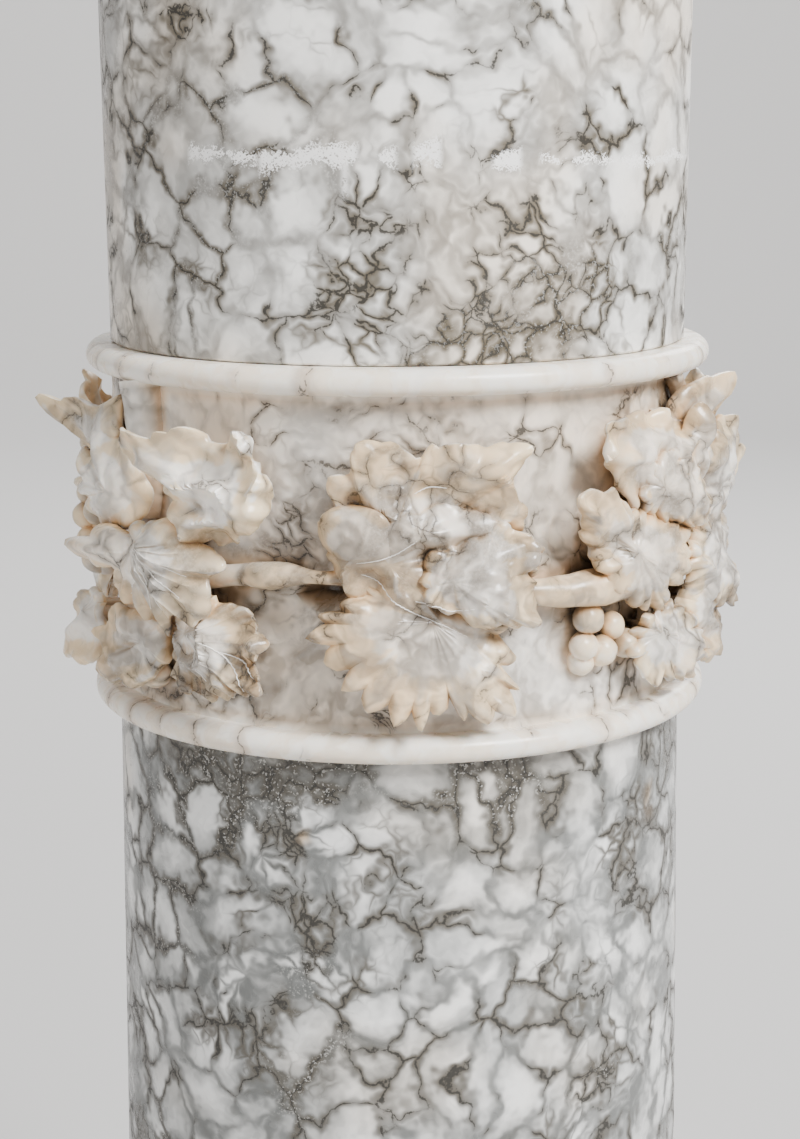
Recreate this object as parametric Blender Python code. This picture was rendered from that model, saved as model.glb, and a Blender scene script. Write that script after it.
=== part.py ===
"""Alabaster pedestal column with a collar of carved vine leaves between two bead rings.

Five stones stand on each other: a moulded foot on a square plinth, the lower shaft, the carved
collar, the upper shaft and a cap with a square top. Metres, +Z up. The origin is the centre of the
underside. Angles go round the column from its front, which faces -Y, towards +X.
"""

import math
from collections import namedtuple

import bmesh
import bpy
from mathutils import Vector

# Shafts
SHAFT_RADIUS = 0.100  # at the collar, where both shafts meet it
SHAFT_LENGTH = 0.360  # each of the two
LOWER_SHAFT_FLARE = 0.0045  # radius gained from the collar down to the foot
UPPER_SHAFT_FLARE = 0.0025  # radius gained from the collar up to the cap

# Collar
RING_SPACING = 0.1172  # between the middles of the two bead rings
RING_BEAD_RADIUS = 0.0044
RING_STEP = 0.0043  # how far the bead's centre stands out from the drum

# Foliage. Its heights and lengths are shares of the clear band between the rings, and its
# distances out of the drum are shares of the carving's depth, so it fills a collar of any size.
CARVING_DEPTH = 0.022  # how far the highest rims stand out of the drum
CARVING_ROOT = 0.006  # how deep the carved forms run into the drum
BAND_TURN = 57.0  # degrees round the drum for a leaf as long as the band is high
LEAF_RIDGE = 0.16  # how much higher a lobe's ridge stands than the valleys beside it
LEAF_TAPER = 0.80  # a leaf's reach where it meets the drum, as a share of its rim's
STEM_RADIUS = 0.0040
STEM_STAND = 0.6  # the stem's centre over the drum, in stem radii
GRAPE_RADIUS = 0.0049
GRAPE_STAND = 0.5  # a grape's centre over the drum, in grape radii
GRAPE_SPACING = 2.03  # from grape to grape, in grape radii

# Foot, from the floor up
PLINTH_WIDTH = 0.280
PLINTH_HEIGHT = 0.050
FOOT_TORUS_RADIUS = 0.132
FOOT_TORUS_HEIGHT = 0.034
FOOT_FILLET_HEIGHT = 0.006
FOOT_FILLET_STEP = 0.003
FOOT_HOLLOW_HEIGHT = 0.022
FOOT_SEAT_HEIGHT = 0.006
FOOT_SEAT_MARGIN = 0.004  # how far the foot's top stands out past the shaft

# Cap, from the upper shaft up
CAP_BEAD_RADIUS = 0.0045
CAP_HOLLOW_HEIGHT = 0.020
CAP_OVOLO_HEIGHT = 0.024
CAP_OVOLO_RADIUS = 0.124
ABACUS_WIDTH = 0.260
ABACUS_HEIGHT = 0.034
SLAB_BEVEL = 0.002

# Joints between stones, and how far forms of one stone overlap
JOINT_GAP = 0.0003
FUSE_OVERLAP = 0.004

TURNED_STEPS = 36

# Heights that follow from the sizes above
FOOT_HEIGHT = PLINTH_HEIGHT + FOOT_TORUS_HEIGHT + FOOT_FILLET_HEIGHT + FOOT_HOLLOW_HEIGHT + FOOT_SEAT_HEIGHT
COLLAR_HEIGHT = RING_SPACING + 2 * RING_BEAD_RADIUS
LOWER_SHAFT_BASE = FOOT_HEIGHT + JOINT_GAP
COLLAR_BASE = LOWER_SHAFT_BASE + SHAFT_LENGTH + JOINT_GAP
COLLAR_MIDDLE = COLLAR_BASE + COLLAR_HEIGHT / 2
UPPER_SHAFT_BASE = COLLAR_BASE + COLLAR_HEIGHT + JOINT_GAP
CAP_BASE = UPPER_SHAFT_BASE + SHAFT_LENGTH + JOINT_GAP
BAND = RING_SPACING - 2 * RING_BEAD_RADIUS  # clear height between the rings

# Half of a vine leaf, from its midrib round to its stalk: the angle and reach of each tip, then of the
# notch after it. Angles are in degrees from the midrib, reaches are shares of the leaf's length.
HALF_LEAF = (
    (0, 1.00, 11, 0.80),
    (21, 0.85, 33, 0.54),
    (52, 0.94, 65, 0.70),
    (77, 0.78, 91, 0.48),
    (118, 0.74, 180, 0.20),
)

# One carved leaf. angle and height place its heart, turn is the midrib's heading, clockwise from up.
# stand is the heart's height over the drum. From there the blade climbs by rise at its rim, by tilt more
# towards the heading toward and as much less on the other side, and by curl at the rim on that side.
Leaf = namedtuple("Leaf", "angle height length turn stand rise tilt toward curl")

LEAVES = (
    # The middle of the front: a wide upper leaf, its folded right lobe, and the leaf hanging below
    Leaf(-4.5, 0.03, 0.56, 49, 0.40, 0.04, 0.06, 30, 0.28),
    Leaf(3.0, -0.01, 0.39, 113, 0.58, 0.00, 0.00, 110, -0.25),
    Leaf(0.5, -0.12, 0.36, 164, 0.44, 0.05, 0.15, 170, 0.15),
    # Left of it
    Leaf(-32.0, 0.10, 0.34, -7, 0.40, 0.08, 0.12, 0, 0.30),
    Leaf(-55.0, 0.08, 0.36, -75, 0.44, 0.06, 0.10, 280, 0.20),
    Leaf(-54.0, -0.01, 0.31, 141, 0.60, 0.02, 0.08, 180, 0.08),
    Leaf(-38.0, -0.21, 0.33, 125, 0.34, 0.06, 0.12, 130, 0.08),
    Leaf(-51.0, -0.24, 0.26, -132, 0.30, 0.08, 0.10, 220, 0.22),
    # The left profile
    Leaf(-64.0, 0.30, 0.28, -71, 0.38, 0.04, 0.22, 290, 0.34),
    Leaf(-81.0, -0.26, 0.22, 180, 0.42, 0.06, 0.12, 180, 0.20),
    # Right of the middle
    Leaf(55.6, 0.26, 0.38, -73, 0.40, 0.04, 0.08, 300, 0.20),
    Leaf(52.6, 0.20, 0.32, 118, 0.50, 0.02, 0.08, 100, 0.14),
    Leaf(46.0, -0.01, 0.34, -44, 0.56, 0.02, 0.06, 320, 0.14),
    Leaf(53.5, -0.26, 0.24, 153, 0.42, 0.04, 0.14, 150, 0.22),
    # The right profile
    Leaf(67.0, 0.34, 0.26, 68, 0.34, 0.04, 0.24, 50, 0.30),
    Leaf(82.0, 0.08, 0.24, 0, 0.58, 0.04, 0.04, 0, 0.14),
    Leaf(83.0, -0.09, 0.22, -178, 0.64, 0.02, 0.14, 180, 0.16),
    Leaf(78.0, -0.26, 0.22, 154, 0.40, 0.04, 0.10, 160, 0.16),
    # The back, in the same manner
    Leaf(116.0, 0.16, 0.36, -30, 0.44, 0.06, 0.10, 340, 0.22),
    Leaf(126.0, -0.12, 0.36, 140, 0.46, 0.04, 0.10, 150, 0.18),
    Leaf(151.0, 0.14, 0.34, 20, 0.40, 0.06, 0.12, 10, 0.26),
    Leaf(160.0, -0.16, 0.34, 196, 0.44, 0.04, 0.10, 190, 0.18),
    Leaf(187.0, 0.06, 0.46, 40, 0.42, 0.04, 0.08, 40, 0.26),
    Leaf(194.0, -0.20, 0.30, 150, 0.44, 0.04, 0.12, 160, 0.20),
    Leaf(222.0, 0.14, 0.36, -44, 0.44, 0.06, 0.12, 320, 0.24),
    Leaf(230.0, -0.14, 0.36, 160, 0.46, 0.04, 0.10, 170, 0.18),
    Leaf(256.0, 0.14, 0.32, 10, 0.42, 0.06, 0.14, 0, 0.26),
    Leaf(258.0, -0.16, 0.30, 200, 0.42, 0.04, 0.10, 200, 0.18),
)

# One bunch of grapes: the middle of its top row, and how many grapes lie in each row going down
Bunch = namedtuple("Bunch", "angle height rows")

BUNCHES = (
    Bunch(39.0, -0.19, (2, 2, 1)),
    Bunch(-88.0, 0.12, (1, 2, 2)),
    Bunch(-61.0, -0.32, (1, 2)),
    Bunch(142.0, -0.16, (2, 2, 1)),
    Bunch(209.0, -0.14, (2, 2, 1)),
    Bunch(243.0, -0.14, (2, 2, 1)),
)


def clear_scene():
    for item in list(bpy.data.objects):
        bpy.data.objects.remove(item)


def stone(name, colour, roughness):
    material = bpy.data.materials.new(name)
    material.use_nodes = True
    shader = material.node_tree.nodes["Principled BSDF"]
    shader.inputs["Base Color"].default_value = (*colour, 1.0)
    shader.inputs["Roughness"].default_value = roughness
    shader.inputs["Metallic"].default_value = 0.0
    material.diffuse_color = (*colour, 1.0)
    return material


def new_object(name, bm, material):
    """An object from a bmesh, with its faces pointing out."""
    bmesh.ops.recalc_face_normals(bm, faces=bm.faces)
    mesh = bpy.data.meshes.new(name)
    bm.to_mesh(mesh)
    bm.free()
    mesh.materials.append(material)
    item = bpy.data.objects.new(name, mesh)
    bpy.context.scene.collection.objects.link(item)
    return item


def shade_round(item, crease_degrees=32):
    item.data.shade_smooth()
    item.data.set_sharp_from_angle(angle=math.radians(crease_degrees))


def arc(centre_r, centre_z, radius, steps):
    """Points (r, z) of a half-round that bulges outwards, from its bottom to its top."""
    points = []
    for i in range(steps + 1):
        a = math.pi * (i / steps - 0.5)
        points.append((centre_r + radius * math.cos(a), centre_z + radius * math.sin(a)))
    return points


def hollow(lower_r, lower_z, upper_r, upper_z, steps):
    """Points (r, z) of a quarter-round hollow, which is level at its wider end and upright at the other."""
    points = []
    for i in range(steps + 1):
        a = math.pi / 2 * i / steps
        if upper_r < lower_r:
            share_r, share_z = math.sin(a), 1 - math.cos(a)
        else:
            share_r, share_z = 1 - math.cos(a), math.sin(a)
        points.append((lower_r + (upper_r - lower_r) * share_r, lower_z + (upper_z - lower_z) * share_z))
    return points


def turned(name, profile, material):
    """A solid turned about Z from a profile of (r, z) points that runs from bottom to top."""
    bm = bmesh.new()
    low, high = profile[0][1], profile[-1][1]
    outline = [(0.0, low), *profile, (0.0, high)]
    verts = [bm.verts.new((r, 0.0, z)) for r, z in outline]
    edges = [bm.edges.new(pair) for pair in zip(verts, verts[1:])]
    axis = (0, 0, 1)
    bmesh.ops.spin(bm, geom=verts + edges, axis=axis, angle=math.tau, steps=TURNED_STEPS, use_merge=True)
    bmesh.ops.remove_doubles(bm, verts=bm.verts, dist=1e-6)
    return new_object(name, bm, material)


def slab(name, width, low, high, material):
    """A square slab with its edges eased."""
    bm = bmesh.new()
    bmesh.ops.create_cube(bm, size=1.0)
    for v in bm.verts:
        v.co = Vector((v.co.x * width, v.co.y * width, low + (v.co.z + 0.5) * (high - low)))
    bmesh.ops.bevel(bm, geom=bm.edges, offset=SLAB_BEVEL, segments=1, affect="EDGES")
    return new_object(name, bm, material)


def hidden_collection(name):
    """A collection for solids that are only there to be fused into another one."""
    group = bpy.data.collections.new(name)
    bpy.context.scene.collection.children.link(group)
    return group


def move_to(group, item):
    bpy.context.scene.collection.objects.unlink(item)
    group.objects.link(item)
    item.hide_render = True
    item.display_type = "WIRE"


def fuse(item, group):
    """Unites the item with every solid of the group, as one stone."""
    union = item.modifiers.new("fused_forms", "BOOLEAN")
    union.operation = "UNION"
    union.operand_type = "COLLECTION"
    union.collection = group
    union.solver = "EXACT"


def island(start, seen):
    """All faces that hang together with the first one."""
    faces, waiting = [], [start]
    seen.add(start)
    while waiting:
        face = waiting.pop()
        faces.append(face)
        for edge in face.edges:
            for other in edge.link_faces:
                if other not in seen:
                    seen.add(other)
                    waiting.append(other)
    return faces


def inside_out(faces):
    """True for the skin of a hollow, whose faces point in."""
    volume = 0.0
    for face in faces:
        first = face.verts[0].co
        for second, third in zip(face.verts[1:], face.verts[2:]):
            volume += first.dot(second.co.cross(third.co))
    return volume <= 0


def fill_pockets(item):
    """Fills the small sealed hollows that fused forms leave between them, as the stone is solid there."""
    bm = bmesh.new()
    bm.from_object(item, bpy.context.evaluated_depsgraph_get())
    seen = set()
    for face in list(bm.faces):
        if face.is_valid and face not in seen:
            faces = island(face, seen)
            if inside_out(faces):
                bmesh.ops.delete(bm, geom=faces, context="FACES")
    item.modifiers.clear()
    bm.to_mesh(item.data)
    bm.free()


def on_drum(angle, height, out):
    """A point from its angle in degrees, its height over the collar's middle and its distance out of the drum."""
    a = math.radians(angle)
    r = SHAFT_RADIUS + out
    return Vector((r * math.sin(a), -r * math.cos(a), COLLAR_MIDDLE + height))


def leaf_rays():
    """Angle and reach of a leaf's tips and notches by turns, once round from its stalk."""
    right = []
    for tip_angle, tip_reach, notch_angle, notch_reach in HALF_LEAF:
        right.append((tip_angle, tip_reach))
        right.append((notch_angle, notch_reach))
    left = [(-angle, reach) for angle, reach in right[1:-1]]
    return list(reversed(left)) + right


def uneven(leaf, ray_angle):
    """A carver's unevenness: a little more or less reach, the same each time."""
    return 1 + 0.06 * math.sin(ray_angle * 0.11 + leaf.angle * 1.7 + leaf.height * 9)


def spread(leaf, ray, share):
    """How far round the drum, in degrees, and how far up a leaf's ray has gone at a share of its reach."""
    ray_angle, reach = ray
    heading = math.radians(leaf.turn + ray_angle)
    along = leaf.length * reach * uneven(leaf, ray_angle) * share
    return leaf.angle + along * math.sin(heading) * BAND_TURN, (leaf.height + along * math.cos(heading)) * BAND


def leaf_top(leaf, ray, share, ridge):
    """A point of the blade's face, raised by the ridge, at a share of a ray's reach."""
    facing = math.cos(math.radians(leaf.turn + ray[0] - leaf.toward))
    climb = (leaf.rise + leaf.tilt * facing) * share + leaf.curl * max(facing, 0) * share**3
    return on_drum(*spread(leaf, ray, share), (leaf.stand + climb + ridge) * CARVING_DEPTH)


def leaf_solid(leaf, name, material):
    """A leaf with ridged lobes, whose sides run down into the drum."""
    bm = bmesh.new()
    rays = leaf_rays()
    heart = bm.verts.new(leaf_top(leaf, rays[0], 0.0, 0.0))
    ridges = [bm.verts.new(leaf_top(leaf, ray, 0.55, LEAF_RIDGE * 0.6)) for ray in rays[::2]]
    rim = []
    for i, ray in enumerate(rays):
        rim.append(bm.verts.new(leaf_top(leaf, ray, 1.0, -LEAF_RIDGE * 0.4 if i % 2 else 0.0)))
    base = [bm.verts.new(on_drum(*spread(leaf, ray, LEAF_TAPER), -CARVING_ROOT)) for ray in rays]
    root = bm.verts.new(on_drum(leaf.angle, leaf.height * BAND, -CARVING_ROOT))
    for i, ridge in enumerate(ridges):
        next_ridge = ridges[(i + 1) % len(ridges)]
        tip, notch, next_tip = rim[2 * i], rim[2 * i + 1], rim[(2 * i + 2) % len(rim)]
        bm.faces.new((heart, ridge, next_ridge))
        bm.faces.new((ridge, tip, notch))
        bm.faces.new((ridge, notch, next_ridge))
        bm.faces.new((next_ridge, notch, next_tip))
    for i, v in enumerate(rim):
        j = (i + 1) % len(rim)
        bm.faces.new((v, base[i], base[j], rim[j]))
        bm.faces.new((root, base[j], base[i]))
    bmesh.ops.triangulate(bm, faces=bm.faces)
    return new_object(name, bm, material)


def grape(name, centre, material):
    bm = bmesh.new()
    bmesh.ops.create_uvsphere(bm, u_segments=6, v_segments=4, radius=GRAPE_RADIUS)
    item = new_object(name, bm, material)
    item.location = centre
    return item


def bunch_centres(bunch):
    """Centres of a bunch's grapes, in rows that go down, each half a grape aside of the one above."""
    out = GRAPE_STAND * GRAPE_RADIUS
    spacing = GRAPE_SPACING * GRAPE_RADIUS
    step = math.degrees(spacing / (SHAFT_RADIUS + out))
    centres = []
    for row, count in enumerate(bunch.rows):
        aside = 0.25 if row % 2 else -0.25
        for i in range(count):
            angle = bunch.angle + (i - (count - 1) / 2 + aside) * step
            height = bunch.height * BAND - row * spacing * math.cos(math.radians(30))
            centres.append(on_drum(angle, height, out))
    return centres


def stem_height(angle):
    """The vine's stem waves up and down four times on its way round behind the leaves."""
    return BAND * (-0.055 + 0.036 * math.sin(math.radians(4 * (angle + 35.5))))


def stem_ring(name, material):
    """The stem as a closed tube once round the drum."""
    bm = bmesh.new()
    steps, sides = 28, 5
    rings = []
    for i in range(steps):
        angle = 360 * (i + 0.5) / steps
        ring = []
        for k in range(sides):
            a = math.tau * k / sides
            out = STEM_RADIUS * (STEM_STAND + math.cos(a))
            ring.append(bm.verts.new(on_drum(angle, stem_height(angle) + STEM_RADIUS * math.sin(a), out)))
        rings.append(ring)
    for i, ring in enumerate(rings):
        next_ring = rings[(i + 1) % steps]
        for k in range(sides):
            m = (k + 1) % sides
            bm.faces.new((ring[k], ring[m], next_ring[m], next_ring[k]))
    bmesh.ops.triangulate(bm, faces=bm.faces)
    return new_object(name, bm, material)


def collar(material):
    """The drum with its two bead rings, and all the foliage carved from the same stone."""
    ring_r = SHAFT_RADIUS + RING_STEP
    lower_z = COLLAR_MIDDLE - RING_SPACING / 2
    upper_z = COLLAR_MIDDLE + RING_SPACING / 2
    profile = arc(ring_r, lower_z, RING_BEAD_RADIUS, 4)
    profile.append((SHAFT_RADIUS, lower_z + RING_BEAD_RADIUS))
    profile.append((SHAFT_RADIUS, upper_z - RING_BEAD_RADIUS))
    profile += arc(ring_r, upper_z, RING_BEAD_RADIUS, 4)
    drum = turned("vine_collar", profile, material)
    carving = hidden_collection("carving")
    move_to(carving, stem_ring("stem", material))
    for i, leaf in enumerate(LEAVES):
        move_to(carving, leaf_solid(leaf, f"leaf_{i + 1}", material))
    for i, bunch in enumerate(BUNCHES):
        for k, centre in enumerate(bunch_centres(bunch)):
            move_to(carving, grape(f"grape_{i + 1}_{k + 1}", centre, material))
    fuse(drum, carving)
    fill_pockets(drum)
    return drum


def shaft(name, base, base_radius, top_radius, material):
    return turned(name, [(base_radius, base), (top_radius, base + SHAFT_LENGTH)], material)


def foot(material):
    """A square plinth, a torus, a fillet, a hollow and the seat of the shaft."""
    seat_radius = SHAFT_RADIUS + LOWER_SHAFT_FLARE + FOOT_SEAT_MARGIN
    bulge = FOOT_TORUS_HEIGHT / 2
    fillet_radius = FOOT_TORUS_RADIUS - bulge
    fillet_base = PLINTH_HEIGHT + FOOT_TORUS_HEIGHT
    hollow_base = fillet_base + FOOT_FILLET_HEIGHT
    hollow_top = hollow_base + FOOT_HOLLOW_HEIGHT
    profile = [(fillet_radius, PLINTH_HEIGHT - FUSE_OVERLAP)]
    profile += arc(fillet_radius, PLINTH_HEIGHT + bulge, bulge, 5)
    profile.append((fillet_radius, hollow_base))
    profile += hollow(fillet_radius - FOOT_FILLET_STEP, hollow_base, seat_radius, hollow_top, 3)
    profile.append((seat_radius, FOOT_HEIGHT))
    item = slab("foot", PLINTH_WIDTH, 0.0, PLINTH_HEIGHT, material)
    mouldings = hidden_collection("foot_mouldings")
    move_to(mouldings, turned("foot_turning", profile, material))
    fuse(item, mouldings)
    return item


def cap(material):
    """A neck bead, a hollow, an ovolo and the square slab that carries what stands on the column."""
    neck_radius = SHAFT_RADIUS + UPPER_SHAFT_FLARE
    hollow_base = CAP_BASE + 2 * CAP_BEAD_RADIUS
    ovolo_base = hollow_base + CAP_HOLLOW_HEIGHT
    bulge = CAP_OVOLO_HEIGHT / 2
    ovolo_r = CAP_OVOLO_RADIUS - bulge
    slab_base = ovolo_base + CAP_OVOLO_HEIGHT
    profile = arc(neck_radius, CAP_BASE + CAP_BEAD_RADIUS, CAP_BEAD_RADIUS, 4)
    profile += hollow(neck_radius, hollow_base, ovolo_r, ovolo_base, 3)[1:]
    profile += arc(ovolo_r, ovolo_base + bulge, bulge, 5)[1:]
    profile.append((ovolo_r, slab_base + FUSE_OVERLAP))
    item = slab("cap", ABACUS_WIDTH, slab_base, slab_base + ABACUS_HEIGHT, material)
    mouldings = hidden_collection("cap_mouldings")
    move_to(mouldings, turned("cap_turning", profile, material))
    fuse(item, mouldings)
    return item


def build():
    clear_scene()
    lower_stone = stone("grey_veined_alabaster", (0.66, 0.66, 0.64), 0.28)
    collar_stone = stone("cream_alabaster", (0.80, 0.75, 0.68), 0.30)
    upper_stone = stone("white_veined_alabaster", (0.76, 0.76, 0.74), 0.28)
    foot_radius = SHAFT_RADIUS + LOWER_SHAFT_FLARE
    neck_radius = SHAFT_RADIUS + UPPER_SHAFT_FLARE
    pieces = [
        foot(lower_stone),
        shaft("lower_shaft", LOWER_SHAFT_BASE, foot_radius, SHAFT_RADIUS, lower_stone),
        collar(collar_stone),
        shaft("upper_shaft", UPPER_SHAFT_BASE, SHAFT_RADIUS, neck_radius, upper_stone),
        cap(upper_stone),
    ]
    for piece in pieces:
        shade_round(piece)


build()
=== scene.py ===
"""Alabaster column with a carved vine collar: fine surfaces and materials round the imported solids."""

import math
from collections import namedtuple

import bmesh
import bpy
from mathutils import Matrix, Vector, noise
from mathutils.bvhtree import BVHTree

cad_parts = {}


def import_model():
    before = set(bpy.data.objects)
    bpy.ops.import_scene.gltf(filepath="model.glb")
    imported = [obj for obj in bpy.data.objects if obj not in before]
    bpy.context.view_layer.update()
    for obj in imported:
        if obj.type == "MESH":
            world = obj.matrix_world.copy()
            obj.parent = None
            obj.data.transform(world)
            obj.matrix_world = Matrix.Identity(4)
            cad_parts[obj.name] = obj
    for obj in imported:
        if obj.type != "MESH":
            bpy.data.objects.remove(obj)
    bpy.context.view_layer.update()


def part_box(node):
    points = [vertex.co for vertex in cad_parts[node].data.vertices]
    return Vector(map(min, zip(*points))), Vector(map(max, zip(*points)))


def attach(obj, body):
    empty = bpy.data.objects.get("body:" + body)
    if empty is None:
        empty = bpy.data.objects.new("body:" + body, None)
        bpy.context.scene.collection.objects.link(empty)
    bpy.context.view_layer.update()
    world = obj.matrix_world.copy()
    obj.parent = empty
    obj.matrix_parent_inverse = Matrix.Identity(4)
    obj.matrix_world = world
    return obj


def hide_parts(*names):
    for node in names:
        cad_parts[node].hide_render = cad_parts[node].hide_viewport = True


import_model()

# The photograph's height and the camera that fits it: pixels, radians, metres, the sensor in mm
PHOTO_HEIGHT = 1139
FOCAL_PIXELS = 2290.7
CAMERA_PITCH = 0.2019
CAMERA_YAW = 0.00064
CAMERA_ROLL = -0.00535
CAMERA_DISTANCE = 0.80536
CAMERA_OVER_COLLAR = 0.14364
SENSOR = 36.0

# The studio: a floor that curves up into a wall
FLOOR_RADIUS = 4.0
COVE_RADIUS = 2.5
COVE_HEIGHT = 4.5

# The shafts and the collar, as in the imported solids
SHAFT_RADIUS = 0.100
JOINT_GAP = 0.0003
RING_BEAD_RADIUS = 0.0044
RING_STEP = 0.0043
CARVING_DEPTH = 0.022
BAND_TURN = 57.0

# The carving's finer sizes. The dome is a share of the carving's depth, the boss of a leaf's reach.
CARVING_ROOT = 0.005
LEAF_THICKNESS = 0.0020
LEAF_DOME = 0.16
BOSS_REACH = 0.40
STEM_RADIUS = 0.0042
GRAPE_RADIUS = 0.0050
GROUND_UNEVEN = 0.0006
HAIRLINE_RADIUS = 0.00024

# What the material reads off the carving: rays out of a hollow, for painted shade, and into a thin rim,
# for a painted warm glow, and how warm stem and fruit are
HOLLOW_REACH = 0.016
HOLLOW_RAYS = 8
HOLLOW_TILT = math.radians(52)
HOLLOW_FULL = 6.0
THIN_REACH = 0.007
SKIN = 0.0003
STEM_WARMTH = 0.55

# Foot and cap mouldings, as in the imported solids
PLINTH_HEIGHT = 0.050
FOOT_TORUS_RADIUS = 0.132
FOOT_TORUS_HEIGHT = 0.034
FOOT_FILLET_HEIGHT = 0.006
FOOT_FILLET_STEP = 0.003
FOOT_HOLLOW_HEIGHT = 0.022
FOOT_SEAT_MARGIN = 0.004
CAP_BEAD_RADIUS = 0.0045
CAP_HOLLOW_HEIGHT = 0.020
CAP_OVOLO_HEIGHT = 0.024
CAP_OVOLO_RADIUS = 0.124
SLAB_BEVEL = 0.002
SLAB_WEAR = 0.0006
FUSE_OVERLAP = 0.004
FINE_EDGE = 0.0006

# How finely the meshes are divided, and the angles in degrees above which an edge stays sharp
TURNED_STEPS = 288
DRUM_ROWS = 42
SHAFT_ROWS = 40
SLAB_CUTS = 48
TOOTH_STEPS = 6
FRONT_LEAF_RINGS = 14
BACK_LEAF_RINGS = 9
TURNED_CREASE = 40
CARVED_CREASE = 50


def node_box(name):
    low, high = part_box(name)
    return Vector(low), Vector(high)


foot_low, foot_high = node_box("foot")
lower_low, lower_high = node_box("lower_shaft")
collar_low, collar_high = node_box("vine_collar")
upper_low, upper_high = node_box("upper_shaft")
cap_low, cap_high = node_box("cap")

COLLAR_BASE = lower_high.z + JOINT_GAP
COLLAR_TOP = upper_low.z - JOINT_GAP
COLLAR_MIDDLE = (COLLAR_BASE + COLLAR_TOP) / 2
RING_SPACING = COLLAR_TOP - COLLAR_BASE - 2 * RING_BEAD_RADIUS
BAND = RING_SPACING - 2 * RING_BEAD_RADIUS


# Geometry

def linked(name, data):
    item = bpy.data.objects.new(name, data)
    bpy.context.scene.collection.objects.link(item)
    return item


def new_object(name, bm):
    mesh = bpy.data.meshes.new(name)
    bm.to_mesh(mesh)
    bm.free()
    return linked(name, mesh)


def shade_round(item, crease_degrees):
    item.data.shade_smooth()
    item.data.set_sharp_from_angle(angle=math.radians(crease_degrees))


def arc(centre_r, centre_z, radius, start, end, steps):
    points = []
    for i in range(steps + 1):
        a = math.radians(start + (end - start) * i / steps)
        points.append((centre_r + radius * math.cos(a), centre_z + radius * math.sin(a)))
    return points


def straight(start, end, steps):
    """Points from start to end, without the end itself."""
    return [tuple(s + (e - s) * i / steps for s, e in zip(start, end)) for i in range(steps)]


def turned(profile):
    """A closed solid turned from a profile of (r, z) points, bottom to top."""
    bm = bmesh.new()
    rings = []
    for r, z in profile:
        ring = []
        for k in range(TURNED_STEPS):
            a = math.tau * k / TURNED_STEPS
            ring.append(bm.verts.new((r * math.sin(a), -r * math.cos(a), z)))
        rings.append(ring)
    for lower, upper in zip(rings, rings[1:]):
        for k in range(TURNED_STEPS):
            m = (k + 1) % TURNED_STEPS
            bm.faces.new((lower[k], lower[m], upper[m], upper[k]))
    bm.faces.new(list(reversed(rings[0])))
    bm.faces.new(rings[-1])
    return bm


def on_drum(angle, height, out):
    """A point: degrees from the front, height over the collar's middle, distance out of the drum."""
    a = math.radians(angle)
    r = SHAFT_RADIUS + out
    return Vector((r * math.sin(a), -r * math.cos(a), COLLAR_MIDDLE + height))


# A leaf: its heart on the drum, its outline as (direction, reach) round the heart, the pitch and
# depth of its teeth, how it stands, tilts, curls and crumples, and its vein's height. Directions go
# clockwise from up. Heights and reaches are shares of the band, stand to crumple of CARVING_DEPTH.
Leaf = namedtuple(
    "Leaf", "name angle height outline pitch depth stand tilt toward curl crumple vein", defaults=(0.0,)
)

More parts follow.
